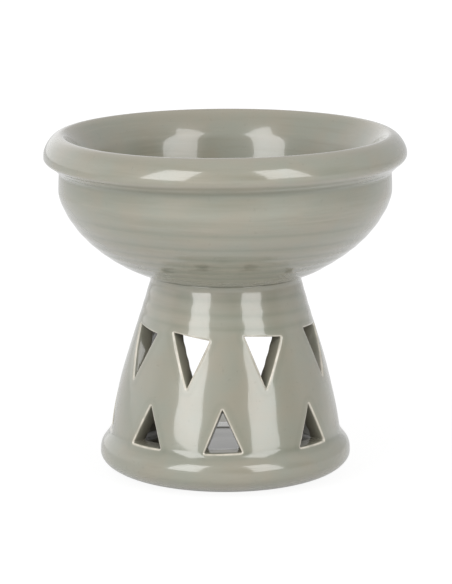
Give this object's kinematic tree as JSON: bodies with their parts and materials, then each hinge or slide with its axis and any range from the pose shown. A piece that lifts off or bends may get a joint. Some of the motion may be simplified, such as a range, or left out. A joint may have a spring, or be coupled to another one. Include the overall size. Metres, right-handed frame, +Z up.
{
  "type": "oil burner",
  "caption": "Glazed stoneware oil burner: a deep round bowl with a rolled rim on a flared, pierced stand that holds a tealight behind an arch at the back.",
  "frame": {"origin": "on the table, under the middle of the foot", "axes": "+Z up along the thrown axis, -Y to the front of the picture, +Y to the tealight arch at the back"},
  "size_m": [0.13, 0.13, 0.124],
  "materials": {
    "grey_glaze": "glossy pale grey-green glaze over buff stoneware, breaking to cream on the cut edges"
  },
  "bodies": {
    "root": {"bowl": "grey_glaze", "pierced_stand": "grey_glaze", "candle_floor": "grey_glaze"}
  },
  "joints": []
}
